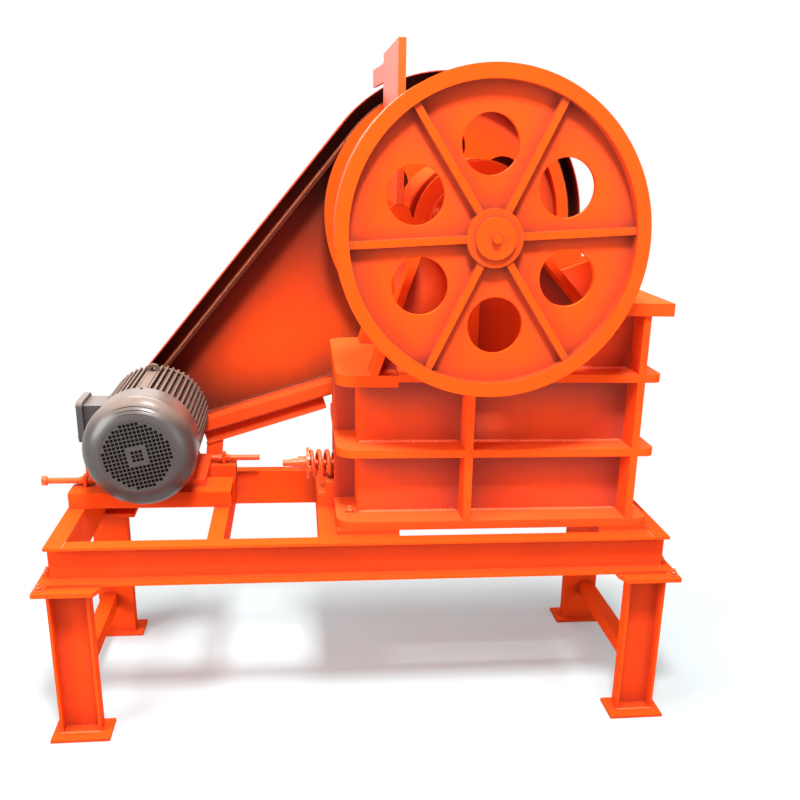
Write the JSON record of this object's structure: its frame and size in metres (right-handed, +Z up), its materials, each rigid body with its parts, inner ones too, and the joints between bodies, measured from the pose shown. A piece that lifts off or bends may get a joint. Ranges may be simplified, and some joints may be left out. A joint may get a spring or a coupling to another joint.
{
  "type": "jaw crusher",
  "caption": "Jaw crusher on a channel steel stand: ribbed body with feed mouth, flywheel and belt pulley on one eccentric shaft, driven over belts by a motor.",
  "frame": {"origin": "on the ground, under the middle of the whole machine's outline", "axes": "+X along the stand from the motor to the feed end, +Y from the flywheel side to the belt side, +Z up"},
  "size_m": [2.057, 1.1, 2.068],
  "materials": {
    "machine_paint": "semi-gloss",
    "motor_paint": "semi-gloss",
    "wear_steel": "matte",
    "belt_rubber": "matte"
  },
  "bodies": {
    "machine": {"front_rail": "machine_paint", "rear_rail": "machine_paint", "left_end_beam": "machine_paint", "right_end_beam": "machine_paint", "motor_cross_member": "machine_paint", "crusher_bearer_rear": "machine_paint", "crusher_bearer_front": "machine_paint", "leg_front_left": "machine_paint", "leg_front_right": "machine_paint", "leg_back_left": "machine_paint", "leg_back_right": "machine_paint", "leg_tie_left": "machine_paint", "leg_tie_right": "machine_paint", "side_wall_front": "machine_paint", "side_wall_rear": "machine_paint", "toggle_wall": "machine_paint", "fixed_jaw_wall": "machine_paint", "feed_mouth_frame": "machine_paint", "fixed_jaw_plate": "wear_steel", "cheek_plate_front": "wear_steel", "cheek_plate_rear": "wear_steel", "toggle_seat": "machine_paint", "toggle_plate": "machine_paint", "tension_rod": "machine_paint", "tension_spring": "machine_paint", "spring_bracket": "machine_paint", "bearing_housing_front": "machine_paint", "bearing_housing_rear": "machine_paint", "motor_slide_front": "machine_paint", "motor_slide_rear": "machine_paint", "motor_fan_cowl": "motor_paint", "motor_housing": "motor_paint", "motor_terminal_box": "motor_paint", "motor_shaft": "wear_steel", "motor_pulley": "machine_paint", "tension_bolt_left": "machine_paint", "tension_bolt_right": "machine_paint", "drive_belts": "belt_rubber", "belt_guard_plate": "machine_paint", "belt_guard_rim": "machine_paint", "belt_guard_support": "machine_paint", "feed_guard_plate": "machine_paint"},
    "rotor": {"eccentric_shaft": "wear_steel", "front_flywheel": "machine_paint", "drive_pulley": "machine_paint"},
    "jaw": {"swing_jaw": "machine_paint", "moving_jaw_plate": "wear_steel"}
  },
  "joints": [
    {"name": "rotor_turn", "type": "hinge", "parent": "machine", "child": "rotor", "pos_m": [0.3555, -0.006, 1.56], "axis": [0, 1, 0], "continuous": true},
    {"name": "jaw_on_eccentric", "type": "hinge", "parent": "rotor", "child": "jaw", "pos_m": [0.3555, -0.006, 1.55], "axis": [0, 1, 0], "continuous": true}
  ],
  "couplings": [
    {"joint": "jaw_on_eccentric", "follows": "rotor_turn", "ratio": -1}
  ]
}
